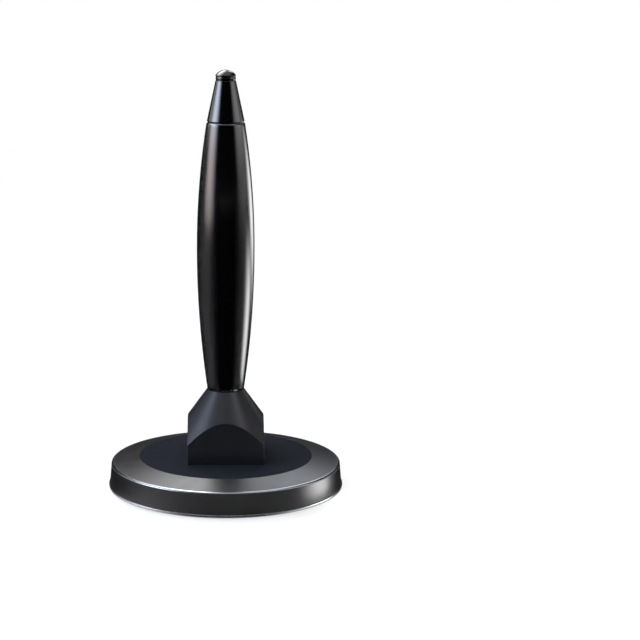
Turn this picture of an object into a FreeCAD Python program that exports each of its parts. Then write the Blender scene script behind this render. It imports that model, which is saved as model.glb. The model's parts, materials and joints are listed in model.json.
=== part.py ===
import FreeCAD, Part
import math
import os

# Omnidirectional television aerial: barrel mast on a square pedestal and a round magnetic base.
# Millimetres, +Z up, origin at the middle of the foot pad's underside, cable gland to the rear (+Y).

# Foot pad, bottom cover, magnet and ground plate, stacked from the floor up
pad_thickness = 1.0
pad_proud = 0.4              # how far the pad stands out below the base shell
pad_edge_fillet = 0.2
cover_floor = 1.2
cover_rim_width = 1.6        # rim of the cover that frames the pad
rib_height = 1.2             # rib on the cover that centres the magnet
rib_width = 1.2
magnet_thickness = 4.0
magnet_play = 0.15           # air between the magnet and the cover
plate_thickness = 1.2
plate_margin = 0.8           # how far the ground plate reaches past the magnet

# Base shell
base_radius = 35.0           # over the foot lip
base_wall = 1.8
lip_height = 0.9
lip_overhang = 0.28
wall_draft = 4.9             # degrees that the side wall leans in
rim_drop = 1.7               # from the flat disc down to the rim corner
border_width = 8.35          # sloped border between rim and disc
rim_fillet = 0.6
lip_fillet = 0.35
fillet_share = 0.8           # most of a ledge that a fillet may take
wire_hole_radius = 4.0       # way through the base for the ground lug

# Pedestal
pedestal_side = 22.6
pedestal_height = 20.45
pedestal_wall = 1.8
cone_half_angle = 35.6       # degrees
neck_step = 0.14             # ledge left around the mast's foot
roof_thickness = 3.2
pedestal_edge_fillet = 0.25
pedestal_edge_rise = 0.5     # an edge that rises more than this is a corner or an arch

# Mast shell
mast_length = 79.05
mast_bottom_radius = 5.42
mast_widest_radius = 8.47
mast_widest_height = 41.75   # above the mast's foot
mast_top_radius = 5.6
mast_top_wall = 1.3
mast_floor = 5.4
spigot_radius = 3.5
spigot_length = 8.0
mast_edge_fillet = 0.3

# Seam ring, nose cone and tip button
seam_height = 0.25
seam_recess = 0.4
nose_length = 11.8
nose_bottom_radius = 5.52
nose_top_radius = 3.0
nose_wall = 1.1
nose_spigot_length = 6.0
nose_spigot_wall = 1.4
nose_edge_fillet = 0.3
button_dome_radius = 3.0
button_dome_height = 1.55
button_dome_edge = 0.15
button_groove_radius = 2.86
button_bead_radius = 2.94
button_groove_height = 0.5
button_bead_height = 0.45
button_stem_radius = 1.2
button_stem_length = 3.0

# Radiator: a circuit strip with a meander track, on a turned feed pin
feed_flange_thickness = 1.2
feed_stem_radius = 0.9
feed_stem_proud = 2.0        # solder end below the mast's spigot
feed_post_width = 1.6
feed_post_depth = 1.2
feed_post_height = 3.6
board_width = 7.4
board_thickness = 1.0
board_tongue_length = 3.0    # narrow end held in the nose spigot
track_thickness = 0.1
track_width = 0.8
track_margin = 0.6           # bare board beside the track
track_pitch = 2.4            # from one crossing of the meander to the next
track_foot_height = 4.4

# Mast nut and washer
nut_sides = 6
nut_across_flats = 10.0
nut_thickness = 2.0
nut_chamfer = 0.35
washer_radius = 5.3
washer_thickness = 0.5

# Cable gland in the pedestal's rear wall
gland_height = 4.9           # axis above the base disc
gland_bore_radius = 1.6
gland_body_radius = 2.6
gland_flange_radius = 3.6
gland_flange_thickness = 1.2
gland_inner_flange_radius = 3.3
gland_inner_flange_thickness = 1.0
gland_chamfer = 0.4

# Screws, one size for pedestal and cover
screw_radius = 1.0
screw_head_radius = 1.9
pan_head_height = 1.3
pan_dome_height = 0.7
countersink_height = 0.95
cross_slot_width = 0.5
cross_slot_length = 2.2
cross_slot_depth = 0.6
screw_point = 0.8
screw_tip_radius = 0.3
pedestal_screw_length = 8.0
cover_screw_length = 4.8
cover_screw_count = 3
cover_screw_start = 90       # degrees, so that the first is at the rear
boss_radius = 2.2
boss_roof = 1.6              # solid end above a pilot hole
pilot_spare = 0.6            # pilot hole past the screw's point

# Ground lug
lug_thickness = 0.4
lug_ring_radius = 2.1
lug_tail_width = 2.0
lug_tail_reach = 2.3         # tail's distance from the mast axis
lug_tail_rise = 4.0          # above the base disc
lug_swing = 45               # degrees, round to the rear right screw

# Clearances
fit_gap = 0.05               # close fits: spigots, stems, threads
loose_gap = 0.2              # through holes and the magnet's seat
cover_gap = 0.1
boss_bite = 0.25             # how far a pedestal boss runs into the wall
screw_ring_margin = 1.0      # room on each side of a cover boss
same_place = 1e-4            # two measures closer than this are one

# Heights that follow from the stack
cover_bottom_z = pad_proud
cover_top_z = pad_thickness + cover_floor
magnet_bottom_z = cover_top_z + magnet_play
plate_bottom_z = magnet_bottom_z + magnet_thickness
ceiling_z = plate_bottom_z + plate_thickness
base_top_z = ceiling_z + base_wall
rim_z = base_top_z - rim_drop
lip_top_z = cover_bottom_z + lip_height
pedestal_top_z = base_top_z + pedestal_height
ledge_z = pedestal_top_z - roof_thickness
mast_top_z = pedestal_top_z + mast_length
mast_floor_z = pedestal_top_z + mast_floor
spigot_end_z = pedestal_top_z - spigot_length
nose_bottom_z = mast_top_z + seam_height
nose_top_z = nose_bottom_z + nose_length
nose_spigot_end_z = nose_bottom_z - nose_spigot_length
gland_z = base_top_z + gland_height

# Radii and places that follow from what they fit
draft_slope = math.tan(math.radians(wall_draft))
cone_slope = math.tan(math.radians(cone_half_angle))
wall_foot_radius = base_radius - lip_overhang
rim_radius = wall_foot_radius - (rim_z - lip_top_z) * draft_slope
disc_radius = rim_radius - border_width
skirt_inner_radius = wall_foot_radius - base_wall
cover_radius = skirt_inner_radius - cover_gap
pad_radius = cover_radius - cover_rim_width
rib_outer_radius = skirt_inner_radius - 2 * (boss_radius + screw_ring_margin)
rib_inner_radius = rib_outer_radius - rib_width
magnet_outer_radius = rib_inner_radius - loose_gap
plate_radius = magnet_outer_radius + plate_margin
cover_screw_circle = (rib_outer_radius + skirt_inner_radius) / 2
half_side = pedestal_side / 2
inner_half_side = half_side - pedestal_wall
boss_place = inner_half_side - boss_radius + boss_bite
screw_seat_radius = max(screw_head_radius, lug_ring_radius) + loose_gap
magnet_inner_radius = math.hypot(boss_place, boss_place) + screw_seat_radius
neck_radius = mast_bottom_radius + neck_step
nut_corner_radius = nut_across_flats / 2 / math.cos(math.pi / nut_sides)
ledge_radius = max(nut_corner_radius, washer_radius) + loose_gap
mast_bore_radius = mast_top_radius - mast_top_wall
nose_spigot_radius = mast_bore_radius - fit_gap
nose_bore_radius = nose_spigot_radius - nose_spigot_wall
feed_flange_top_z = mast_floor_z + feed_flange_thickness
board_tongue_half = math.sqrt((nose_bore_radius - fit_gap) ** 2 - (board_thickness / 2) ** 2)
track_front = -board_thickness / 2 - track_thickness
seam_radius = mast_top_radius - seam_recess


def point(radius, height):
    return FreeCAD.Vector(radius, 0, height)


def up(length):
    return FreeCAD.Vector(0, 0, length)


def turn_edges(edges):
    # Solid of revolution about Z from a closed outline in the XZ half plane
    face = Part.Face(Part.Wire(Part.__sortEdges__(edges)))
    return face.revolve(FreeCAD.Vector(0, 0, 0), up(1), 360)


def turned(outline):
    corners = [point(radius, height) for radius, height in outline]
    edges = [Part.makeLine(a, b) for a, b in zip(corners, corners[1:] + corners[:1])]
    return turn_edges(edges)


def cylinder(radius, bottom, top, x=0.0, y=0.0):
    return Part.makeCylinder(radius, top - bottom, FreeCAD.Vector(x, y, bottom), up(1))


def tube(outer, inner, bottom, top):
    return cylinder(outer, bottom, top).cut(cylinder(inner, bottom, top))


def dome_arc(radius, edge_z, apex_z):
    # Arc of a sphere centred on Z, from its rim to its apex
    rise = apex_z - edge_z
    sphere = (radius ** 2 + rise ** 2) / (2 * abs(rise))
    inward = sphere - math.sqrt(sphere ** 2 - (radius / 2) ** 2)
    middle = point(radius / 2, apex_z - math.copysign(inward, rise))
    return Part.Arc(point(radius, edge_z), middle, point(0, apex_z)).toShape()


def round_rings(solid, radius, rings):
    # Fillet of the circular edges that lie at the given radius and height
    picked = []
    for edge in solid.Edges:
        if not isinstance(edge.Curve, Part.Circle):
            continue
        ring = edge.Curve
        for ring_radius, height in rings:
            if abs(ring.Radius - ring_radius) < same_place and abs(ring.Center.z - height) < same_place:
                picked.append(edge)
    return solid.makeFillet(radius, picked)


def one_solid(shape):
    return shape.removeSplitter().Solids[0]


def square_corners(place):
    return [(place, place), (-place, place), (-place, -place), (place, -place)]


def cover_screw_places():
    places = []
    for index in range(cover_screw_count):
        angle = math.radians(cover_screw_start + 360 * index / cover_screw_count)
        places.append((cover_screw_circle * math.cos(angle), cover_screw_circle * math.sin(angle)))
    return places


def cross_slot(bottom):
    # Two crossed bars that cut a driver recess into a screw head seen from below
    bar = Part.makeBox(cross_slot_length, cross_slot_width, cross_slot_depth)
    bar.translate(FreeCAD.Vector(-cross_slot_length / 2, -cross_slot_width / 2, bottom))
    other = bar.copy()
    other.rotate(FreeCAD.Vector(0, 0, 0), up(1), 90)
    return bar.fuse(other)


def screw_shank(length, start):
    return [
        (screw_radius, start),
        (screw_radius, length - screw_point),
        (screw_tip_radius, length),
        (0, length),
    ]


def pan_screw(length):
    # Head below Z 0, shank pointing up
    edge = pan_head_height - pan_dome_height
    dome = dome_arc(screw_head_radius, -edge, -pan_head_height)
    outline = [(0, -pan_head_height), (0, length)] + screw_shank(length, 0)[::-1][1:]
    outline = outline + [(screw_head_radius, 0), (screw_head_radius, -edge)]
    corners = [point(radius, height) for radius, height in outline]
    edges = [Part.makeLine(a, b) for a, b in zip(corners, corners[1:])]
    solid = turn_edges(edges + [dome])
    return one_solid(solid.cut(cross_slot(-pan_head_height)))


def flat_screw(length):
    # Flat of the head at Z 0, cone and shank pointing up
    outline = [(0, 0), (screw_head_radius, 0)] + screw_shank(length, countersink_height)
    return one_solid(turned(outline).cut(cross_slot(0)))


def base_outside():
    outline = [
        (0, cover_bottom_z),
        (base_radius, cover_bottom_z),
        (base_radius, lip_top_z),
        (wall_foot_radius, lip_top_z),
        (rim_radius, rim_z),
        (disc_radius, base_top_z),
        (0, base_top_z),
    ]
    solid = round_rings(turned(outline), rim_fillet, [(rim_radius, rim_z)])
    solid = round_rings(solid, lip_fillet, [(base_radius, cover_bottom_z)])
    return round_rings(solid, min(lip_fillet, lip_overhang * fillet_share), [(base_radius, lip_top_z)])


def make_base_shell():
    outside = base_outside()
    hollow = turned([
        (0, cover_bottom_z),
        (skirt_inner_radius, cover_bottom_z),
        (skirt_inner_radius, cover_top_z),
        (rim_radius - base_wall, rim_z - base_wall),
        (plate_radius + cover_gap, ceiling_z),
        (0, ceiling_z),
    ])
    shell = outside.cut(hollow)
    for x, y in cover_screw_places():
        boss = cylinder(boss_radius, cover_top_z, base_top_z, x, y).common(outside)
        shell = shell.fuse(boss)
    pilot_top = pad_thickness + cover_screw_length + pilot_spare
    for x, y in cover_screw_places():
        shell = shell.cut(cylinder(screw_radius + fit_gap, cover_top_z, pilot_top, x, y))
    for x, y in square_corners(boss_place):
        shell = shell.cut(cylinder(screw_radius + loose_gap, ceiling_z, base_top_z, x, y))
    shell = shell.cut(cylinder(wire_hole_radius, ceiling_z, base_top_z))
    return one_solid(shell)


def make_bottom_cover():
    cover = turned([
        (0, pad_thickness),
        (pad_radius + cover_gap, pad_thickness),
        (pad_radius + cover_gap, cover_bottom_z),
        (cover_radius, cover_bottom_z),
        (cover_radius, cover_top_z),
        (rib_outer_radius, cover_top_z),
        (rib_outer_radius, cover_top_z + rib_height),
        (rib_inner_radius, cover_top_z + rib_height),
        (rib_inner_radius, cover_top_z),
        (0, cover_top_z),
    ])
    for x, y in cover_screw_places():
        head_radius = screw_head_radius + cover_gap
        hole_radius = screw_radius + cover_gap
        seat = FreeCAD.Vector(x, y, pad_thickness)
        sink = Part.makeCone(head_radius, hole_radius, countersink_height, seat, up(1))
        cover = cover.cut(sink)
        cover = cover.cut(cylinder(hole_radius, pad_thickness, cover_top_z, x, y))
    return one_solid(cover)


def make_base_pad():
    pad = cylinder(pad_radius, 0, pad_thickness)
    return round_rings(pad, pad_edge_fillet, [(pad_radius, 0)])


def make_ring_magnet():
    return tube(magnet_outer_radius, magnet_inner_radius, magnet_bottom_z, plate_bottom_z)


def make_ground_plate():
    plate = tube(plate_radius, wire_hole_radius, plate_bottom_z, ceiling_z)
    for x, y in square_corners(boss_place):
        plate = plate.cut(cylinder(screw_radius + loose_gap, plate_bottom_z, ceiling_z, x, y))
    return one_solid(plate)


def make_ground_lug():
    # Drawn along +X, then swung under the rear right screw
    reach = math.hypot(boss_place, boss_place)
    bottom = plate_bottom_z - lug_thickness
    ring = cylinder(lug_ring_radius, bottom, plate_bottom_z, reach, 0)
    strip = Part.makeBox(reach - lug_tail_reach, lug_tail_width, lug_thickness)
    strip.translate(FreeCAD.Vector(lug_tail_reach, -lug_tail_width / 2, bottom))
    tail = Part.makeBox(lug_thickness, lug_tail_width, base_top_z + lug_tail_rise - bottom)
    tail.translate(FreeCAD.Vector(lug_tail_reach, -lug_tail_width / 2, bottom))
    lug = ring.fuse(strip).fuse(tail)
    lug = lug.cut(cylinder(screw_radius + cover_gap, bottom, plate_bottom_z, reach, 0))
    lug = one_solid(lug)
    lug.rotate(FreeCAD.Vector(0, 0, 0), up(1), lug_swing)
    return lug


def make_pedestal_screws():
    screws = []
    for index, (x, y) in enumerate(square_corners(boss_place)):
        screw = pan_screw(pedestal_screw_length)
        drop = lug_thickness if index == 0 else 0
        screw.translate(FreeCAD.Vector(x, y, plate_bottom_z - drop))
        screws.append(screw)
    return Part.makeCompound(screws)


def make_cover_screws():
    screws = []
    for x, y in cover_screw_places():
        screw = flat_screw(cover_screw_length)
        screw.translate(FreeCAD.Vector(x, y, pad_thickness))
        screws.append(screw)
    return Part.makeCompound(screws)


def square_cone(side_half, top_radius, bottom, top):
    # Square block whose top is trimmed to a cone around Z
    block = Part.makeBox(2 * side_half, 2 * side_half, top - bottom)
    block.translate(FreeCAD.Vector(-side_half, -side_half, bottom))
    bottom_radius = top_radius + (top - bottom) * cone_slope
    cone = Part.makeCone(bottom_radius, top_radius, top - bottom, up(bottom), up(1))
    return one_solid(block.common(cone))


def make_pedestal():
    outside = square_cone(half_side, neck_radius, base_top_z, pedestal_top_z)
    edges = [edge for edge in outside.Edges if edge.BoundBox.ZLength > pedestal_edge_rise]
    outside = outside.makeFillet(pedestal_edge_fillet, edges)
    hollow = square_cone(inner_half_side, ledge_radius, base_top_z, ledge_z)
    pilot_depth = pedestal_screw_length - plate_thickness - base_wall + pilot_spare
    block = outside.cut(hollow)
    for x, y in square_corners(boss_place):
        boss = cylinder(boss_radius, base_top_z, base_top_z + pilot_depth + boss_roof, x, y)
        block = block.fuse(boss.common(outside))
    for x, y in square_corners(boss_place):
        block = block.cut(cylinder(screw_radius + fit_gap, base_top_z, base_top_z + pilot_depth, x, y))
    block = block.cut(cylinder(spigot_radius + fit_gap, ledge_z, pedestal_top_z))
    hole_start = FreeCAD.Vector(0, inner_half_side, gland_z)
    rearward = FreeCAD.Vector(0, 1, 0)
    gland_hole = Part.makeCylinder(gland_body_radius + fit_gap, pedestal_wall, hole_start, rearward)
    return one_solid(block.cut(gland_hole))


def make_cable_gland():
    # Turned about Z from the inner flange up, then laid along +Y
    neck_start = gland_inner_flange_thickness
    neck_end = neck_start + pedestal_wall
    outer_end = neck_end + gland_flange_thickness
    gland = turned([
        (gland_bore_radius, 0),
        (gland_inner_flange_radius - gland_chamfer, 0),
        (gland_inner_flange_radius, gland_chamfer),
        (gland_inner_flange_radius, neck_start),
        (gland_body_radius, neck_start),
        (gland_body_radius, neck_end),
        (gland_flange_radius, neck_end),
        (gland_flange_radius, outer_end - gland_chamfer),
        (gland_flange_radius - gland_chamfer, outer_end),
        (gland_bore_radius, outer_end),
    ])
    gland.rotate(FreeCAD.Vector(0, 0, 0), FreeCAD.Vector(1, 0, 0), -90)
    gland.translate(FreeCAD.Vector(0, inner_half_side - gland_inner_flange_thickness, gland_z))
    return gland


def make_mast_washer():
    return tube(washer_radius, spigot_radius + fit_gap, ledge_z - washer_thickness, ledge_z)


def make_mast_nut():
    top = ledge_z - washer_thickness
    bottom = top - nut_thickness
    corners = []
    for index in range(nut_sides + 1):
        angle = 2 * math.pi * index / nut_sides
        x = nut_corner_radius * math.cos(angle)
        y = nut_corner_radius * math.sin(angle)
        corners.append(FreeCAD.Vector(x, y, bottom))
    nut = Part.Face(Part.makePolygon(corners)).extrude(up(nut_thickness))
    turned_blank = turned([
        (0, bottom),
        (nut_corner_radius - nut_chamfer, bottom),
        (nut_corner_radius, bottom + nut_chamfer),
        (nut_corner_radius, top - nut_chamfer),
        (nut_corner_radius - nut_chamfer, top),
        (0, top),
    ])
    nut = nut.common(turned_blank)
    return one_solid(nut.cut(cylinder(spigot_radius + fit_gap, bottom, top)))


def belly_point(end_radius, end_offset):
    # Middle of the arc from the widest place, where it is upright, to an end of the mast
    drop = mast_widest_radius - end_radius
    arc_radius = (end_offset ** 2 + drop ** 2) / (2 * drop)
    half = abs(end_offset) / 2
    return mast_widest_radius - arc_radius + math.sqrt(arc_radius ** 2 - half ** 2)


def make_mast_shell():
    widest_z = pedestal_top_z + mast_widest_height
    foot = point(mast_bottom_radius, pedestal_top_z)
    widest = point(mast_widest_radius, widest_z)
    crown = point(mast_top_radius, mast_top_z)
    lower_radius = belly_point(mast_bottom_radius, mast_widest_height)
    upper_radius = belly_point(mast_top_radius, mast_top_z - widest_z)
    lower_middle = point(lower_radius, (pedestal_top_z + widest_z) / 2)
    upper_middle = point(upper_radius, (mast_top_z + widest_z) / 2)
    hole_radius = feed_stem_radius + cover_gap
    corners = [
        crown,
        point(mast_bore_radius, mast_top_z),
        point(mast_bore_radius, mast_floor_z),
        point(hole_radius, mast_floor_z),
        point(hole_radius, spigot_end_z),
        point(spigot_radius, spigot_end_z),
        point(spigot_radius, pedestal_top_z),
        foot,
    ]
    edges = [Part.makeLine(a, b) for a, b in zip(corners, corners[1:])]
    edges.append(Part.Arc(foot, lower_middle, widest).toShape())
    edges.append(Part.Arc(widest, upper_middle, crown).toShape())
    rings = [(mast_bottom_radius, pedestal_top_z), (mast_top_radius, mast_top_z)]
    return round_rings(turn_edges(edges), mast_edge_fillet, rings)


def make_seam_ring():
    return tube(seam_radius, nose_spigot_radius + fit_gap, mast_top_z, nose_bottom_z)


def make_nose_cone():
    taper = (nose_bottom_radius - nose_top_radius) / nose_length
    bore_end_z = nose_top_z - (nose_bore_radius + nose_wall - nose_top_radius) / taper
    bore_end_z = min(bore_end_z, nose_top_z - button_stem_length)
    hole_radius = button_stem_radius + fit_gap
    nose = turned([
        (nose_bore_radius, nose_spigot_end_z),
        (nose_spigot_radius, nose_spigot_end_z),
        (nose_spigot_radius, nose_bottom_z),
        (nose_bottom_radius, nose_bottom_z),
        (nose_top_radius, nose_top_z),
        (hole_radius, nose_top_z),
        (hole_radius, bore_end_z),
        (nose_bore_radius, bore_end_z),
    ])
    return round_rings(nose, nose_edge_fillet, [(nose_bottom_radius, nose_bottom_z)])


def make_tip_button():
    bead_start = nose_top_z + button_groove_height
    bead_end = bead_start + button_bead_height
    dome_start = bead_end + button_groove_height
    dome_edge_z = dome_start + button_dome_edge
    apex_z = dome_edge_z + button_dome_height
    outline = [
        (0, apex_z),
        (0, nose_top_z - button_stem_length),
        (button_stem_radius, nose_top_z - button_stem_length),
        (button_stem_radius, nose_top_z),
        (button_groove_radius, nose_top_z),
        (button_groove_radius, bead_start),
        (button_bead_radius, bead_start),
        (button_bead_radius, bead_end),
        (button_groove_radius, bead_end),
        (button_groove_radius, dome_start),
        (button_dome_radius, dome_start),
        (button_dome_radius, dome_edge_z),
    ]
    corners = [point(radius, height) for radius, height in outline]
    edges = [Part.makeLine(a, b) for a, b in zip(corners, corners[1:])]
    edges.append(dome_arc(button_dome_radius, dome_edge_z, apex_z))
    return turn_edges(edges)


def box_between(x_low, x_high, y_low, y_high, z_low, z_high):
    box = Part.makeBox(x_high - x_low, y_high - y_low, z_high - z_low)
    box.translate(FreeCAD.Vector(x_low, y_low, z_low))
    return box


def make_feed_pin():
    stem_end_z = spigot_end_z - feed_stem_proud
    pin = turned([
        (0, stem_end_z),
        (feed_stem_radius, stem_end_z),
        (feed_stem_radius, mast_floor_z),
        (mast_bore_radius - cover_gap, mast_floor_z),
        (mast_bore_radius - cover_gap, feed_flange_top_z),
        (0, feed_flange_top_z),
    ])
    half = feed_post_width / 2
    post = box_between(-half, half, track_front - feed_post_depth, track_front,
                       feed_flange_top_z, feed_flange_top_z + feed_post_height)
    return one_solid(pin.fuse(post))


def make_radiator_board():
    half = board_width / 2
    deep = board_thickness / 2
    body = box_between(-half, half, -deep, deep, feed_flange_top_z, nose_spigot_end_z - cover_gap)
    tongue = box_between(-board_tongue_half, board_tongue_half, -deep, deep,
                         feed_flange_top_z, nose_spigot_end_z + board_tongue_length)
    return one_solid(body.fuse(tongue))


def make_radiator_track():
    # A foot up the middle, then crossings joined alternately at the right and left edge
    half = board_width / 2 - track_margin
    back = -board_thickness / 2
    line = track_width / 2
    first_z = feed_flange_top_z + track_foot_height
    room = nose_spigot_end_z - track_pitch - first_z
    crossings = int(room / track_pitch)
    track = box_between(-line, line, track_front, back, feed_flange_top_z + track_margin, first_z + line)
    for index in range(crossings):
        level = first_z + index * track_pitch
        start = -line if index == 0 else -half
        track = track.fuse(box_between(start, half, track_front, back, level - line, level + line))
        side = half - track_width if index % 2 == 0 else -half
        if index < crossings - 1:
            link = box_between(side, side + track_width, track_front, back, level, level + track_pitch)
            track = track.fuse(link)
    return one_solid(track)


os.makedirs("parts", exist_ok=True)

makers = {
    "base_pad": make_base_pad,
    "bottom_cover": make_bottom_cover,
    "cover_screws": make_cover_screws,
    "ring_magnet": make_ring_magnet,
    "ground_plate": make_ground_plate,
    "ground_lug": make_ground_lug,
    "base_shell": make_base_shell,
    "pedestal_screws": make_pedestal_screws,
    "pedestal": make_pedestal,
    "cable_gland": make_cable_gland,
    "mast_washer": make_mast_washer,
    "mast_nut": make_mast_nut,
    "mast_shell": make_mast_shell,
    "feed_pin": make_feed_pin,
    "radiator_board": make_radiator_board,
    "radiator_track": make_radiator_track,
    "seam_ring": make_seam_ring,
    "nose_cone": make_nose_cone,
    "tip_button": make_tip_button,
}

for node, make in makers.items():
    shape = make()
    shape.exportStep("parts/" + node + ".step")
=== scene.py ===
import bpy
import bmesh
import json
import math
from mathutils import Matrix, Vector

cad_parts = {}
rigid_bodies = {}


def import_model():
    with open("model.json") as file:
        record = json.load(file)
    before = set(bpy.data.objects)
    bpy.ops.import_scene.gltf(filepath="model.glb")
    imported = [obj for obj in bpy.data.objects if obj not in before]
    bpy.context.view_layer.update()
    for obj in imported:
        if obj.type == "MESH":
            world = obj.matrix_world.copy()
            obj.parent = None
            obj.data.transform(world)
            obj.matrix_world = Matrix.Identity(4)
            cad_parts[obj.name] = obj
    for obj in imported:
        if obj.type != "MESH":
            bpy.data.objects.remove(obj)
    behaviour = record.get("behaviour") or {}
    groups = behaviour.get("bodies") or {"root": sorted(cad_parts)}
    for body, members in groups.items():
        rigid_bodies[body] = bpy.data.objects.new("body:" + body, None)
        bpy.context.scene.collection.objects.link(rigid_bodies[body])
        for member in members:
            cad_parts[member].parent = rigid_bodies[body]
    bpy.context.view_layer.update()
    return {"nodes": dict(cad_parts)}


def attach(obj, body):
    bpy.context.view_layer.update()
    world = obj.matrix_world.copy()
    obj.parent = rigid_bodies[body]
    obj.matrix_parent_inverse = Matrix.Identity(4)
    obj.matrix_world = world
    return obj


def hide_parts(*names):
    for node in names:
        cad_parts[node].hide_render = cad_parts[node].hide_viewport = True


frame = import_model()
scene = bpy.context.scene
scene.view_settings.view_transform = "Standard"
mm = 0.001  # lengths of the pieces are written in millimetres
noiseSpread = {"From Min": 0.3, "From Max": 0.7}  # most of a noise texture's values lie between these
bumpStrength = 0.3
filletSteps = 4  # faces across a rounded corner
weldGap = 0.0001  # millimetres; closer vertices are merged
crispAngle = 35  # degrees; a sharper corner stays crisp
print("frame loaded, nodes:", len(frame["nodes"]))


def linear(hexColour):  # sRGB hex to the linear colour that a socket takes
    parts = [int(hexColour[i:i + 2], 16) / 255 for i in (1, 3, 5)]
    return [p / 12.92 if p <= 0.04045 else ((p + 0.055) / 1.055) ** 2.4 for p in parts] + [1.0]


def addNode(tree, kind, settings, values={}, links={}):  # one node: its settings, socket values and links
    node = tree.nodes.new("ShaderNode" + kind)
    for key, value in settings.items():
        setattr(node, key, value)
    for key, value in values.items():
        node.inputs[key].default_value = value
    for key, socket in links.items():
        tree.links.new(socket, node.inputs[key])
    return node


def startMaterial(name, values):  # a principled shader on object coordinates
    material = bpy.data.materials.new(name)
    material.use_nodes = True
    tree = material.node_tree
    tree.nodes.clear()
    coords = addNode(tree, "TexCoord", {})
    shader = addNode(tree, "BsdfPrincipled", {}, values)
    addNode(tree, "OutputMaterial", {}, {}, {"Surface": shader.outputs["BSDF"]})
    return material, tree, shader, coords.outputs["Object"]


# Gloss ABS, moulded in a polished tool: deep black, long soft highlights, faint flow waves and haze. At the
# mast's crown edge a band of light metal colour is a painted highlight, a fine bright line under the seam
gloss = {"colour": "#020203", "paintedLineColour": "#6a6c70", "ior": 1.5, "rough": (0.12, 0.16), "hazeSize": 3.0,
         "waveSize": 14.0, "waveDepth": 0.012, "paintedLineFrom": 108.55, "paintedLineTo": 108.9}
glossAbs, tree, shader, coords = startMaterial("mouldedGlossAbs", {"IOR": gloss["ior"]})
height = addNode(tree, "SeparateXYZ", {}, {}, {"Vector": coords}).outputs["Z"]
# painted highlight: the band at the crown edge gets a light metal colour in place of the light it would catch
over = addNode(tree, "Math", {"operation": "GREATER_THAN"}, {1: gloss["paintedLineFrom"] * mm}, {0: height})
under = addNode(tree, "Math", {"operation": "LESS_THAN"}, {1: gloss["paintedLineTo"] * mm}, {0: height})
paintedHighlight = addNode(tree, "Math", {"operation": "MULTIPLY"}, {}, {0: over.outputs[0], 1: under.outputs[0]})
colour = addNode(tree, "Mix", {"data_type": "RGBA"},
                 {6: linear(gloss["colour"]), 7: linear(gloss["paintedLineColour"])},
                 {0: paintedHighlight.outputs[0]})
tree.links.new(colour.outputs[2], shader.inputs["Base Color"])
tree.links.new(paintedHighlight.outputs[0], shader.inputs["Metallic"])
haze = addNode(tree, "TexNoise", {}, {"Scale": 1 / (gloss["hazeSize"] * mm), "Detail": 5.0},
               {"Vector": coords})
rough = addNode(tree, "MapRange", {},
                {**noiseSpread, "To Min": gloss["rough"][0], "To Max": gloss["rough"][1]},
                {"Value": haze.outputs["Fac"]})
wave = addNode(tree, "TexNoise", {}, {"Scale": 1 / (gloss["waveSize"] * mm), "Detail": 1.0},
               {"Vector": coords})
bump = addNode(tree, "Bump", {}, {"Strength": bumpStrength, "Distance": gloss["waveDepth"] * mm},
               {"Height": wave.outputs["Fac"]})
tree.links.new(rough.outputs["Result"], shader.inputs["Roughness"])
tree.links.new(bump.outputs["Normal"], shader.inputs["Normal"])

# Satin ABS, moulded in a spark-eroded tool: a wide dull sheen over an even grain, which is drawn coarser
# than the real one so that it shows
satin = {"colour": "#191a1f", "ior": 1.5, "rough": (0.28, 0.33), "grainSize": 0.35, "grainDepth": 0.012}
satinAbs, tree, shader, coords = startMaterial("sparkErodedSatinAbs", {
    "Base Color": linear(satin["colour"]), "IOR": satin["ior"]})
grain = addNode(tree, "TexNoise", {}, {"Scale": 1 / (satin["grainSize"] * mm), "Detail": 3.0},
                {"Vector": coords})
rough = addNode(tree, "MapRange", {},
                {**noiseSpread, "To Min": satin["rough"][0], "To Max": satin["rough"][1]},
                {"Value": grain.outputs["Fac"]})
bump = addNode(tree, "Bump", {}, {"Strength": bumpStrength, "Distance": satin["grainDepth"] * mm},
               {"Height": grain.outputs["Fac"]})
tree.links.new(rough.outputs["Result"], shader.inputs["Roughness"])
tree.links.new(bump.outputs["Normal"], shader.inputs["Normal"])

# Base ABS: one moulding with a polished border and wall, and a dull etched disc inside the border. Its rim
# and lip carry painted highlights, light metal bands that draw bright lines, and the disc's metal share only
# takes shine off it. The disc's grain is drawn coarser than the real one so that it shows
base = {"colour": "#040405", "discColour": "#151a23", "rimPaintedLineColour": "#909296", "lipPaintedLineColour": "#b4b6ba",
        "ior": 1.5, "rough": (0.31, 0.37), "rimRough": 0.2, "discRough": 1.0, "discMetal": 0.75,
        "discRadius": 25.83, "discHeight": 9.2, "rimRadius": 33.5, "rimFoot": 7.35, "rimBlend": 0.12,
        "lipRadius": 34.8, "grainSize": 0.3, "grainDepth": 0.02, "hazeSize": 4.0}
baseAbs, tree, shader, coords = startMaterial("polishedAbsWithEtchedDisc", {"IOR": base["ior"]})
axes = addNode(tree, "SeparateXYZ", {}, {}, {"Vector": coords})
plan = addNode(tree, "CombineXYZ", {}, {}, {"X": axes.outputs["X"], "Y": axes.outputs["Y"]})
radius = addNode(tree, "VectorMath", {"operation": "LENGTH"}, {}, {0: plan.outputs["Vector"]})
inside = addNode(tree, "Math", {"operation": "LESS_THAN"}, {1: base["discRadius"] * mm},
                 {0: radius.outputs["Value"]})
above = addNode(tree, "Math", {"operation": "GREATER_THAN"}, {1: base["discHeight"] * mm},
                {0: axes.outputs["Z"]})
disc = addNode(tree, "Math", {"operation": "MULTIPLY"}, {}, {0: inside.outputs[0], 1: above.outputs[0]})
haze = addNode(tree, "TexNoise", {}, {"Scale": 1 / (base["hazeSize"] * mm), "Detail": 5.0},
               {"Vector": coords})
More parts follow.
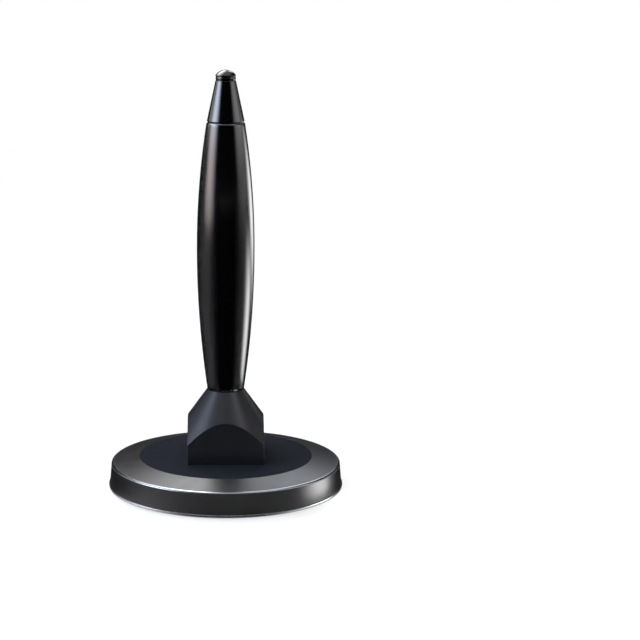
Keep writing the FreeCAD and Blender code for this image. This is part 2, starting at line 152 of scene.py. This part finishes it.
sheen = addNode(tree, "MapRange", {}, {**noiseSpread, "To Min": base["rough"][0], "To Max": base["rough"][1]},
                {"Value": haze.outputs["Fac"]})
rough = addNode(tree, "Mix", {}, {3: base["discRough"]}, {0: disc.outputs[0], 2: sheen.outputs["Result"]})
colour = addNode(tree, "Mix", {"data_type": "RGBA"},
                 {6: linear(base["colour"]), 7: linear(base["discColour"])},
                 {0: disc.outputs[0]})
grain = addNode(tree, "TexNoise", {}, {"Scale": 1 / (base["grainSize"] * mm), "Detail": 3.0},
                {"Vector": coords})
etch = addNode(tree, "Math", {"operation": "MULTIPLY"}, {}, {0: grain.outputs["Fac"], 1: disc.outputs[0]})
bump = addNode(tree, "Bump", {}, {"Strength": bumpStrength, "Distance": base["grainDepth"] * mm},
               {"Height": etch.outputs[0]})
# painted highlights: bands at the rim and the lip get a light, shinier metal colour that draws bright lines
rimStarts = ((base["rimRadius"], radius.outputs["Value"]), (base["rimFoot"], axes.outputs["Z"]))
outer, upper = [addNode(tree, "MapRange", {"interpolation_type": "SMOOTHSTEP"}, {
    "From Min": (start - base["rimBlend"]) * mm, "From Max": (start + base["rimBlend"]) * mm,
}, {"Value": socket}) for start, socket in rimStarts]
lip = addNode(tree, "Math", {"operation": "GREATER_THAN"}, {1: base["lipRadius"] * mm},
              {0: radius.outputs["Value"]})
rim = addNode(tree, "Math", {"operation": "MULTIPLY"}, {},
              {0: outer.outputs["Result"], 1: upper.outputs["Result"]})
paintedHighlight = addNode(tree, "Math", {"operation": "MAXIMUM"}, {}, {0: rim.outputs[0], 1: lip.outputs[0]})
rough = addNode(tree, "Mix", {}, {3: base["rimRough"]}, {0: paintedHighlight.outputs[0], 2: rough.outputs[0]})
metal = addNode(tree, "Math", {"operation": "MULTIPLY_ADD"}, {1: base["discMetal"]},
                {0: disc.outputs[0], 2: paintedHighlight.outputs[0]})
# the painted highlight colours of the rim and lip bands
for part, tone in ((rim, base["rimPaintedLineColour"]), (lip, base["lipPaintedLineColour"])):
    colour = addNode(tree, "Mix", {"data_type": "RGBA"}, {7: linear(tone)},
                     {0: part.outputs[0], 6: colour.outputs[2]})
tree.links.new(colour.outputs[2], shader.inputs["Base Color"])
tree.links.new(metal.outputs[0], shader.inputs["Metallic"])
tree.links.new(rough.outputs[0], shader.inputs["Roughness"])
tree.links.new(bump.outputs["Normal"], shader.inputs["Normal"])

# Black nickel plate on a turned ring: dark, soft, with fine lathe lines round it
nickel = {"colour": "#34353a", "rough": (0.25, 0.4), "lineSize": 0.12, "lineLength": 16.6667}
blackNickel, tree, shader, coords = startMaterial("turnedBlackNickel", {
    "Base Color": linear(nickel["colour"]), "Metallic": 1.0})
stretch = [1 / (size * mm) for size in (nickel["lineLength"], nickel["lineLength"], nickel["lineSize"])]
lay = addNode(tree, "Mapping", {}, {"Scale": stretch}, {"Vector": coords})
lines = addNode(tree, "TexNoise", {}, {"Scale": 1.0, "Detail": 2.0}, {"Vector": lay.outputs["Vector"]})
rough = addNode(tree, "MapRange", {}, {"To Min": nickel["rough"][0], "To Max": nickel["rough"][1]},
                {"Value": lines.outputs["Fac"]})
tree.links.new(rough.outputs["Result"], shader.inputs["Roughness"])

# Cured black rubber: dull, with a grey dusty bloom in soft patches
cure = {"colour": "#161618", "bloom": "#232326", "ior": 1.5, "rough": 0.75, "bloomSize": 4.0,
        "skinDepth": 0.03}
blackRubber, tree, shader, coords = startMaterial("curedBlackRubber", {
    "IOR": cure["ior"], "Roughness": cure["rough"]})
bloom = addNode(tree, "TexNoise", {}, {"Scale": 1 / (cure["bloomSize"] * mm), "Detail": 6.0},
                {"Vector": coords})
colour = addNode(tree, "Mix", {"data_type": "RGBA"}, {6: linear(cure["colour"]), 7: linear(cure["bloom"])},
                 {0: bloom.outputs["Fac"]})
bump = addNode(tree, "Bump", {}, {"Strength": bumpStrength, "Distance": cure["skinDepth"] * mm},
               {"Height": bloom.outputs["Fac"]})
tree.links.new(colour.outputs[2], shader.inputs["Base Color"])
tree.links.new(bump.outputs["Normal"], shader.inputs["Normal"])

# Metals and ceramics of the inner pieces: a colour pair broken up by noise, and a roughness range
innerFinishes = {
    "brightZincPlate": {"pair": ("#b9bec4", "#a2a9b3"), "metallic": 1.0,
                        "rough": (0.25, 0.42), "size": 1.2},  # spangle
    "turnedBrass": {"pair": ("#d9b25c", "#b98d3e"), "metallic": 1.0,
                    "rough": (0.22, 0.38), "size": 0.8},  # tool marks
    "groundFerrite": {"pair": ("#3a3a3c", "#2b2b2e"), "metallic": 0.0,
                      "rough": (0.55, 0.75), "size": 0.6},  # grey grit
    "greenSolderResist": {"pair": ("#1d5a34", "#164a2a"), "metallic": 0.0,
                          "rough": (0.3, 0.45), "size": 0.9},  # weave
    "etchedCopper": {"pair": ("#d08a63", "#b06a48"), "metallic": 1.0,
                     "rough": (0.28, 0.45), "size": 0.7},  # tarnish
}
finishes = {}
for name, look in innerFinishes.items():
    finishes[name], tree, shader, coords = startMaterial(name, {"Metallic": look["metallic"]})
    cloud = addNode(tree, "TexNoise", {}, {"Scale": 1 / (look["size"] * mm), "Detail": 4.0},
                    {"Vector": coords})
    colour = addNode(tree, "Mix", {"data_type": "RGBA"},
                     {6: linear(look["pair"][0]), 7: linear(look["pair"][1])},
                     {0: cloud.outputs["Fac"]})
    rough = addNode(tree, "MapRange", {}, {"To Min": look["rough"][0], "To Max": look["rough"][1]},
                    {"Value": cloud.outputs["Fac"]})
    tree.links.new(colour.outputs[2], shader.inputs["Base Color"])
    tree.links.new(rough.outputs["Result"], shader.inputs["Roughness"])

nodeFinish = {
    "base_shell": baseAbs, "pedestal": satinAbs, "bottom_cover": satinAbs,
    "cover_screws": finishes["brightZincPlate"], "pedestal_screws": finishes["brightZincPlate"],
    "ground_plate": finishes["brightZincPlate"], "mast_washer": finishes["brightZincPlate"],
    "mast_nut": finishes["turnedBrass"], "feed_pin": finishes["turnedBrass"],
    "ground_lug": finishes["turnedBrass"], "ring_magnet": finishes["groundFerrite"],
    "radiator_board": finishes["greenSolderResist"], "radiator_track": finishes["etchedCopper"],
}
for nodeName, finish in nodeFinish.items():
    for slot in frame["nodes"][nodeName].material_slots:
        slot.material = finish
print("materials made:", len(bpy.data.materials))


def cornerAt(bm, place):  # operators renew the vertices, so a corner is found again by its place
    return min(bm.verts, key=lambda vert: (vert.co - place).length)


def bendEdge(bm, ends, centre, cuts):  # a straight edge divided and pushed out onto a circle
    edge = bm.edges.get([cornerAt(bm, end) for end in ends])
    reach = (ends[0] - centre).length
    made = bmesh.ops.bisect_edges(bm, edges=[edge], cuts=cuts)
    for part in made["geom_split"]:
        if isinstance(part, bmesh.types.BMVert):
            part.co = centre + (part.co - centre).normalized() * reach


def roundCorner(bm, place, size):  # a fillet of the given radius at one corner of the outline
    corner = cornerAt(bm, place)
    along = [(edge.other_vert(corner).co - corner.co).normalized() for edge in corner.link_edges]
    setBack = size / math.tan(along[0].angle(along[1]) / 2)
    bmesh.ops.bevel(bm, geom=[corner], offset=setBack, offset_type="OFFSET", affect="VERTICES",
                    segments=filletSteps, profile=0.5, material=-1)


def turnOutline(outline, arcs={}, steps=180):  # spins (radius, height, fillet) corners; arcs bend an edge
    bm = bmesh.new()
    places = [Vector((radius, 0, height)) * mm for radius, height, fillet in outline]
    corners = [bm.verts.new(place) for place in places]
    closing = 1 if outline[0][0] > 0 else 0  # an outline that starts on the axis also ends there
    for corner, after in zip(corners, corners[1:] + corners[:closing]):
        bm.edges.new((corner, after))
    for index, (radius, height, cuts) in arcs.items():
        bendEdge(bm, places[index:index + 2], Vector((radius, 0, height)) * mm, cuts)
    for place, (radius, height, fillet) in zip(places, outline):
        if fillet:
            roundCorner(bm, place, fillet * mm)
    bmesh.ops.spin(bm, geom=bm.verts[:] + bm.edges[:], cent=(0, 0, 0), axis=(0, 0, 1), angle=2 * math.pi,
                   steps=steps, use_merge=True)
    bmesh.ops.remove_doubles(bm, verts=bm.verts[:], dist=weldGap * mm)
    bmesh.ops.recalc_face_normals(bm, faces=bm.faces[:])
    return bm


def finishPiece(name, bm, material, node):  # a smooth object with crisp corners, in a node's place
    for face in bm.faces:
        face.smooth = True
    for edge in bm.edges:
        edge.smooth = edge.calc_face_angle(0) < math.radians(crispAngle)
    mesh = bpy.data.meshes.new(name)
    bm.to_mesh(mesh)
    bm.free()
    piece = bpy.data.objects.new(name, mesh)
    scene.collection.objects.link(piece)
    mesh.materials.append(material)
    flats = piece.modifiers.new("flatsStayFlat", "WEIGHTED_NORMAL")
    flats.keep_sharp = True
    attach(piece, "root")
    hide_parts(node)


# Mast: a barrel of two arcs that meet upright at the widest place, hollow, with a spigot below
mast = {"foot": 29.8, "crown": 108.85, "widestAt": 71.55, "footRadius": 5.42, "widestRadius": 8.47,
        "crownRadius": 5.6, "bore": 4.3, "floor": 35.2, "spigotRadius": 3.5, "spigotEnd": 21.8,
        "spigotEdge": 0.2, "pinHole": 1.0, "edge": 0.38, "lowerCuts": 40, "upperCuts": 36}
rise = mast["crown"] - mast["widestAt"]
fall = mast["widestAt"] - mast["foot"]
upperDrop = mast["widestRadius"] - mast["crownRadius"]
lowerDrop = mast["widestRadius"] - mast["footRadius"]
upperArc = (rise ** 2 + upperDrop ** 2) / (2 * upperDrop)
lowerArc = (fall ** 2 + lowerDrop ** 2) / (2 * lowerDrop)
bm = turnOutline([
    (mast["footRadius"], mast["foot"], mast["edge"]),
    (mast["widestRadius"], mast["widestAt"], 0),
    (mast["crownRadius"], mast["crown"], mast["edge"]),
    (mast["bore"], mast["crown"], 0),
    (mast["bore"], mast["floor"], 0),
    (mast["pinHole"], mast["floor"], 0),
    (mast["pinHole"], mast["spigotEnd"], 0),
    (mast["spigotRadius"], mast["spigotEnd"], mast["spigotEdge"]),
    (mast["spigotRadius"], mast["foot"], 0),
], {
    0: (mast["widestRadius"] - lowerArc, mast["widestAt"], mast["lowerCuts"]),
    1: (mast["widestRadius"] - upperArc, mast["widestAt"], mast["upperCuts"]),
})
finishPiece("mastShell", bm, glossAbs, "mast_shell")

# Seam ring: the recessed dark ring between mast and nose
ring = {"inner": 4.3, "outer": 5.2, "bottom": 108.85, "top": 109.1, "edge": 0.05}
bm = turnOutline([
    (ring["inner"], ring["bottom"], 0),
    (ring["outer"], ring["bottom"], ring["edge"]),
    (ring["outer"], ring["top"], ring["edge"]),
    (ring["inner"], ring["top"], 0),
])
finishPiece("seamRing", bm, blackNickel, "seam_ring")

# Nose: a straight taper on a spigot that plugs into the mast
nose = {"bottom": 109.1, "top": 120.9, "bottomRadius": 5.52, "topRadius": 3.0, "spigotRadius": 4.25,
        "spigotEnd": 103.1, "bore": 2.85, "boreEnd": 116.45, "stemHole": 1.25, "edge": 0.3,
        "topEdge": 0.12, "spigotEdge": 0.2}
bm = turnOutline([
    (nose["bottomRadius"], nose["bottom"], nose["edge"]),
    (nose["topRadius"], nose["top"], nose["topEdge"]),
    (nose["stemHole"], nose["top"], 0),
    (nose["stemHole"], nose["boreEnd"], 0),
    (nose["bore"], nose["boreEnd"], 0),
    (nose["bore"], nose["spigotEnd"], 0),
    (nose["spigotRadius"], nose["spigotEnd"], nose["spigotEdge"]),
    (nose["spigotRadius"], nose["bottom"], 0),
])
finishPiece("noseCone", bm, glossAbs, "nose_cone")

# Tip button: a dome over a collar of two grooves and a bead, on a stem
tip = {"apex": 124.05, "domeEdge": 122.5, "domeFoot": 122.35, "domeRadius": 3.0, "grooveRadius": 2.86,
       "beadTop": 121.85, "beadFoot": 121.4, "beadRadius": 2.94, "seat": 120.9, "stemRadius": 1.2,
       "stemEnd": 117.9, "edge": 0.1, "grooveEdge": 0.03, "stemEdge": 0.2, "domeCuts": 12, "steps": 120}
domeRise = tip["apex"] - tip["domeEdge"]
domeSphere = (tip["domeRadius"] ** 2 + domeRise ** 2) / (2 * domeRise)
bm = turnOutline([
    (0, tip["apex"], 0),
    (tip["domeRadius"], tip["domeEdge"], tip["edge"]),
    (tip["domeRadius"], tip["domeFoot"], tip["grooveEdge"]),
    (tip["grooveRadius"], tip["domeFoot"], tip["grooveEdge"]),
    (tip["grooveRadius"], tip["beadTop"], tip["grooveEdge"]),
    (tip["beadRadius"], tip["beadTop"], tip["grooveEdge"]),
    (tip["beadRadius"], tip["beadFoot"], tip["grooveEdge"]),
    (tip["grooveRadius"], tip["beadFoot"], tip["grooveEdge"]),
    (tip["grooveRadius"], tip["seat"], 0),
    (tip["stemRadius"], tip["seat"], 0),
    (tip["stemRadius"], tip["stemEnd"], tip["stemEdge"]),
    (0, tip["stemEnd"], 0),
], {0: (0, tip["apex"] - domeSphere, tip["domeCuts"])}, tip["steps"])
finishPiece("tipButton", bm, glossAbs, "tip_button")

# Cable gland: a rubber grommet turned upright, then laid into the pedestal's rear wall
gland = {"bore": 1.6, "body": 2.6, "flange": 3.6, "innerFlange": 3.3, "innerThick": 1.0, "wall": 1.8,
         "thick": 1.2, "edge": 0.35, "boreEdge": 0.15, "innerEdge": 0.1, "grooveEdge": 0.08, "start": 8.5,
         "axisHeight": 14.25, "grooveTop": (2.75, 2.1), "grooveFloor": (2.55, 2.25), "grooveDeep": 0.35,
         "steps": 96}
wallEnd = gland["innerThick"] + gland["wall"]
outerEnd = wallEnd + gland["thick"]
bm = turnOutline([
    (gland["bore"], 0, gland["boreEdge"]),
    (gland["innerFlange"], 0, gland["edge"]),
    (gland["innerFlange"], gland["innerThick"], gland["innerEdge"]),
    (gland["body"], gland["innerThick"], 0),
    (gland["body"], wallEnd, 0),
    (gland["flange"], wallEnd, gland["grooveEdge"]),
    (gland["flange"], outerEnd, gland["edge"]),
    (gland["grooveTop"][0], outerEnd, gland["grooveEdge"]),
    (gland["grooveFloor"][0], outerEnd - gland["grooveDeep"], gland["grooveEdge"]),
    (gland["grooveFloor"][1], outerEnd - gland["grooveDeep"], gland["grooveEdge"]),
    (gland["grooveTop"][1], outerEnd, gland["grooveEdge"]),
    (gland["bore"], outerEnd, gland["boreEdge"]),
], {}, gland["steps"])
toWall = Matrix.Translation(Vector((0, gland["start"], gland["axisHeight"])) * mm)
layDown = Matrix.Rotation(math.radians(-90), 4, "X")
bmesh.ops.transform(bm, matrix=toWall @ layDown, verts=bm.verts[:])
finishPiece("cableGland", bm, blackRubber, "cable_gland")

# Foot pad: a rubber disc with moulded anti-slip rings underneath
pad = {"radius": 31.22, "thick": 1.0, "edge": 0.2, "grooves": (6, 11, 16, 21, 26), "grooveDepth": 0.3,
       "grooveWidth": 1.1, "grooveEdge": 0.1}
half = pad["grooveWidth"] / 2
outline = [(0, 0, 0)]
for middle in pad["grooves"]:
    for side, height in ((-half, 0), (-half, pad["grooveDepth"]), (half, pad["grooveDepth"]), (half, 0)):
        outline.append((middle + side, height, pad["grooveEdge"]))
outline += [(pad["radius"], 0, pad["edge"]), (pad["radius"], pad["thick"], 0), (0, pad["thick"], 0)]
bm = turnOutline(outline)
finishPiece("basePad", bm, blackRubber, "base_pad")
faceCount = sum(len(piece.data.polygons) for piece in scene.objects if piece.type == "MESH")
print("pieces made:", faceCount, "faces in all")

# Floor: a pale board that fills the view; it is white to the eye and still takes the object's shadow. A hole
# the size of the foot pad leaves the pad in sight from below
stage = {"radius": 8.0, "hole": 0.0311, "steps": 96, "colour": "#f2f2f2", "nearShare": 0.7, "near": 0.1,
         "far": 0.5}  # metres; near the object the floor shows more of its own shade
bm = bmesh.new()
for ringRadius in (stage["hole"], stage["radius"]):
    bmesh.ops.create_circle(bm, radius=ringRadius, segments=stage["steps"])
bmesh.ops.bridge_loops(bm, edges=bm.edges[:])
bmesh.ops.recalc_face_normals(bm, faces=bm.faces[:])
floorMesh = bpy.data.meshes.new("floor")
bm.to_mesh(floorMesh)
bm.free()
floor = bpy.data.objects.new("floor", floorMesh)
scene.collection.objects.link(floor)
paleBoard = bpy.data.materials.new("matPaleBoard")
paleBoard.use_nodes = True
tree = paleBoard.node_tree
tree.nodes.clear()
coords = addNode(tree, "TexCoord", {})
reach = addNode(tree, "VectorMath", {"operation": "LENGTH"}, {}, {0: coords.outputs["Object"]})
share = addNode(tree, "MapRange", {}, {"From Min": stage["near"], "From Max": stage["far"],
                                       "To Min": stage["nearShare"], "To Max": 1.0},
                {"Value": reach.outputs["Value"]})
path = addNode(tree, "LightPath", {})
seen = path.outputs["Is Camera Ray"]
for ray in ("Is Glossy Ray", "Is Transmission Ray"):
    seen = addNode(tree, "Math", {"operation": "MAXIMUM"}, {}, {0: seen, 1: path.outputs[ray]}).outputs[0]
white = addNode(tree, "Math", {"operation": "MULTIPLY"}, {}, {0: seen, 1: share.outputs["Result"]})
lit = addNode(tree, "BsdfDiffuse", {}, {"Color": linear(stage["colour"])})
glow = addNode(tree, "Emission", {}, {"Color": (1, 1, 1, 1), "Strength": 1.0})
both = addNode(tree, "MixShader", {}, {},
               {0: white.outputs[0], 1: lit.outputs["BSDF"], 2: glow.outputs["Emission"]})
addNode(tree, "OutputMaterial", {}, {}, {"Surface": both.outputs["Shader"]})
floorMesh.materials.append(paleBoard)

# Studio: softboxes in a room that is white to the eye and dim to the gloss, which shows the boxes and floor
# instead; turn is degrees round from the camera, rightwards, and sizes are metres
room = {"colour": "#ffffff", "toEye": 1.0, "toGloss": 0.012}
world = bpy.data.worlds.new("studio")
scene.world = world
world.use_nodes = True
background = world.node_tree.nodes["Background"]
background.inputs["Color"].default_value = linear(room["colour"])
path = addNode(world.node_tree, "LightPath", {})
strength = addNode(world.node_tree, "MapRange", {}, {"To Min": room["toGloss"], "To Max": room["toEye"]},
                   {"Value": path.outputs["Is Camera Ray"]})
world.node_tree.links.new(strength.outputs["Result"], background.inputs["Strength"])
# core is the share of a box's width and height that is at full brightness; the rest fades to its edge
softboxes = {
    "leftBox": {"turn": -74, "reach": 0.8, "height": 0.36, "aim": 0.1, "size": (1.1, 0.48),
                "core": (0, 0), "radiance": 18, "tint": "#d8e6ff"},
    "leftLow": {"turn": -74, "reach": 0.8, "height": 0.128, "aim": 0.1, "size": (1.0, 0.46),
                "core": (0, 0), "radiance": 7.6, "tint": "#fff0f2"},
    "leftWide": {"turn": -104, "reach": 0.8, "height": 0.22, "aim": 0.1, "size": (1.0, 0.26),
                 "core": (0.3, 0), "radiance": 2.2},
    "upFront": {"turn": -80, "reach": 0.76, "height": 0.74, "aim": 0.02, "size": (0.72, 0.5),
                "core": (0, 0), "radiance": 3.2, "tint": "#d4e2ff"},
    "upLeft": {"turn": -147, "reach": 0.6, "height": 0.75, "aim": 0.1, "size": (0.85, 0.65),
               "core": (0, 0), "radiance": 6, "tint": "#f4f7ff"},
    "tipBox": {"turn": -126, "reach": 0.0514, "height": 0.183, "aim": 0.122, "size": (0.12, 0.12),
               "core": (0.3, 0.3), "radiance": 10, "spread": 75},
    "rightBox": {"turn": 78, "reach": 0.8, "height": 0.33, "aim": 0.1, "size": (1.1, 0.48),
                 "core": (0.2, 0), "radiance": 2.9},
    "rightWide": {"turn": 112, "reach": 0.8, "height": 0.22, "aim": 0.1, "size": (0.9, 0.26),
                  "core": (0.3, 0), "radiance": 0.7},
    "rightLow": {"turn": 80, "reach": 0.8, "height": 0.16, "aim": 0.1, "size": (1.1, 0.4),
                 "core": (0.2, 0), "radiance": 1.4},
    "upRight": {"turn": 62, "reach": 0.62, "height": 0.74, "aim": 0.02, "size": (0.7, 0.6),
                "core": (0, 0), "radiance": 1.8},
    "stripHigh": {"turn": 126, "reach": 0.0872, "height": 0.076, "aim": 0.084, "size": (0.175, 0.07),
                  "core": (0, 0.15), "radiance": 9, "roll": -38, "spread": 50},
    "stripLow": {"turn": 105, "reach": 0.0896, "height": 0.025, "aim": 0.052, "size": (0.19, 0.096),
                 "core": (0, 0.25), "radiance": 12, "roll": -16, "spread": 46},
    "rimStrip": {"turn": 66, "reach": 0.0435, "height": 0.0034, "aim": 0.0034, "size": (0.03, 0.0066),
                 "core": (0, 0.6), "radiance": 12},
    "backLeft": {"turn": -171, "reach": 0.66, "height": 0.75, "aim": 0, "size": (0.5, 0.66),
                 "core": (0, 0), "radiance": 10.2},
    "backRight": {"turn": 163, "reach": 0.74, "height": 0.63, "aim": 0, "size": (0.38, 0.62),
                  "core": (0, 0), "radiance": 7.4, "tint": "#f0f5ff"},
    "overhead": {"turn": 0, "reach": 0, "height": 1.2, "aim": 0, "size": (2.1, 2.1),
                 "core": (0.3, 0.3), "radiance": 1.3},
    "underBox": {"turn": 0, "reach": 0, "height": -0.6, "aim": 0, "size": (1.0, 1.0),
                 "core": (0.3, 0.3), "radiance": 3},
}
for lampName, box in softboxes.items():
    lamp = bpy.data.lights.new(lampName, "AREA")
    lamp.shape = "RECTANGLE"
    lamp.size, lamp.size_y = box["size"]
    lamp.spread = math.radians(box.get("spread", 180))  # a strip with a grid in front shines only ahead
    ahead = 1 - lamp.spread / 2 / math.tan(lamp.spread / 2)
    lamp.energy = box["radiance"] * math.pi * lamp.size * lamp.size_y * ahead  # watts that give the radiance
    lamp.color = linear(box.get("tint", "#ffffff"))[:3]
    lamp.use_nodes = True
    tree = lamp.node_tree
    across = addNode(tree, "NewGeometry", {}).outputs["Parametric"]  # 0 to 1 over its width and height
    across = addNode(tree, "VectorMath", {"operation": "MULTIPLY_ADD"}, {1: (2, 2, 2), 2: (-1, -1, -1)},
                     {0: across})
    across = addNode(tree, "VectorMath", {"operation": "ABSOLUTE"}, {}, {0: across.outputs["Vector"]})
    sides = addNode(tree, "SeparateXYZ", {}, {}, {"Vector": across.outputs["Vector"]})
    wide, tall = [addNode(tree, "MapRange", {"interpolation_type": "SMOOTHSTEP"},
                          {"From Min": 1.0, "From Max": core}, {"Value": sides.outputs[axis]})
                  for core, axis in zip(box["core"], "XY")]
    soft = addNode(tree, "Math", {"operation": "MULTIPLY"}, {},
                   {0: wide.outputs["Result"], 1: tall.outputs["Result"]})
    tree.links.new(soft.outputs[0], tree.nodes["Emission"].inputs["Strength"])
    turn = math.radians(box["turn"])
    place = Vector((math.sin(turn) * box["reach"], -math.cos(turn) * box["reach"], box["height"]))
    face = (place - Vector((0, 0, box["aim"]))).to_track_quat("Z", "Y").to_matrix().to_4x4()
    holder = bpy.data.objects.new(lampName, lamp)
    roll = Matrix.Rotation(math.radians(box.get("roll", 0)), 4, "Z")
    holder.matrix_world = Matrix.Translation(place) @ face @ roll
    holder.visible_camera = False
    scene.collection.objects.link(holder)

# Flags: soft black cards that only reflections see: in front above the base's wall, low all round, low
# before the lip and low beside the wall. A card fades in and out over reaches in metres; turn is degrees
# round from the camera to either side, and share is the part of the light that it takes at those turns
flags = {
    "frontFlag": {"height": 0.008, "fadeIn": (0.0355, 0.039), "fadeOut": (5, 6),
                  "turn": (92, 32), "share": (0, 1)},
    "lowFlag": {"height": 0.001, "fadeIn": (0.038, 0.042), "fadeOut": (5, 6),
                "turn": (65, 145), "share": (0.35, 0.96)},
    "lipFlag": {"height": 0.0004, "fadeIn": (0.0351, 0.0353), "fadeOut": (0.0385, 0.0415),
                "turn": (46, 16), "share": (0, 0.97)},
    "wallFlag": {"height": 0.0005, "fadeIn": (0.0351, 0.0354), "fadeOut": (0.06, 0.08),
                 "turn": (52, 80), "share": (0, 0.96)},
}
board = {"half": 4, "colour": "#050505"}  # metres from its middle to a side
for flagName, flag in flags.items():
    bm = bmesh.new()
    bmesh.ops.create_grid(bm, x_segments=1, y_segments=1, size=board["half"])
    bmesh.ops.translate(bm, verts=bm.verts[:], vec=(0, 0, flag["height"]))
    flagMesh = bpy.data.meshes.new(flagName)
    bm.to_mesh(flagMesh)
    bm.free()
    card = bpy.data.objects.new(flagName, flagMesh)
    scene.collection.objects.link(card)
    card.visible_camera = card.visible_diffuse = False
    card.visible_shadow = card.visible_transmission = False
    gauze = bpy.data.materials.new(flagName + "Gauze")
    gauze.use_nodes = True
    tree = gauze.node_tree
    tree.nodes.clear()
    coords = addNode(tree, "TexCoord", {}).outputs["Object"]
    axes = addNode(tree, "SeparateXYZ", {}, {}, {"Vector": coords})
    reach = addNode(tree, "VectorMath", {"operation": "LENGTH"}, {}, {0: coords})
    ahead = addNode(tree, "Math", {"operation": "MULTIPLY"}, {1: -1.0}, {0: axes.outputs["Y"]})
    aside = addNode(tree, "Math", {"operation": "ABSOLUTE"}, {}, {0: axes.outputs["X"]})
    turn = addNode(tree, "Math", {"operation": "ARCTAN2"}, {}, {0: aside.outputs[0], 1: ahead.outputs[0]})
    swing = addNode(tree, "MapRange", {"interpolation_type": "SMOOTHSTEP"}, {
        "From Min": math.radians(flag["turn"][0]), "From Max": math.radians(flag["turn"][1]),
        "To Min": flag["share"][0], "To Max": flag["share"][1]}, {"Value": turn.outputs[0]})
    inner = addNode(tree, "MapRange", {"interpolation_type": "SMOOTHSTEP"}, {
        "From Min": flag["fadeIn"][0], "From Max": flag["fadeIn"][1]}, {"Value": reach.outputs["Value"]})
    outer = addNode(tree, "MapRange", {"interpolation_type": "SMOOTHSTEP"}, {
        "From Min": flag["fadeOut"][1], "From Max": flag["fadeOut"][0]}, {"Value": reach.outputs["Value"]})
    band = addNode(tree, "Math", {"operation": "MULTIPLY"}, {}, {
        0: inner.outputs["Result"], 1: outer.outputs["Result"]})
    cover = addNode(tree, "Math", {"operation": "MULTIPLY"}, {},
                    {0: swing.outputs["Result"], 1: band.outputs[0]})
    black = addNode(tree, "BsdfDiffuse", {}, {"Color": linear(board["colour"])})
    clear = addNode(tree, "BsdfTransparent", {})
    both = addNode(tree, "MixShader", {}, {}, {
        0: cover.outputs[0], 1: clear.outputs["BSDF"], 2: black.outputs["BSDF"]})
    addNode(tree, "OutputMaterial", {}, {}, {"Surface": both.outputs["Shader"]})
    flagMesh.materials.append(gauze)

# Camera: the photograph's place, pitch and framing, on a frame 640 pixels square
view = {"place": (0, -535.3, 160.05), "pitchDown": 11.56, "focalPixels": 1848.6, "axisPixel": 225.7,
        "frame": 640, "sensor": 36}  # millimetres and degrees
cameraData = bpy.data.cameras.new("camera")
cameraData.sensor_width = view["sensor"]
cameraData.lens = view["focalPixels"] / view["frame"] * cameraData.sensor_width
cameraData.shift_x = 0.5 - view["axisPixel"] / view["frame"]
camera = bpy.data.objects.new("camera", cameraData)
camera.location = Vector(view["place"]) * mm
camera.rotation_euler = (math.radians(90 - view["pitchDown"]), 0, 0)
scene.collection.objects.link(camera)
scene.camera = camera
print("floor, lamps and camera placed")
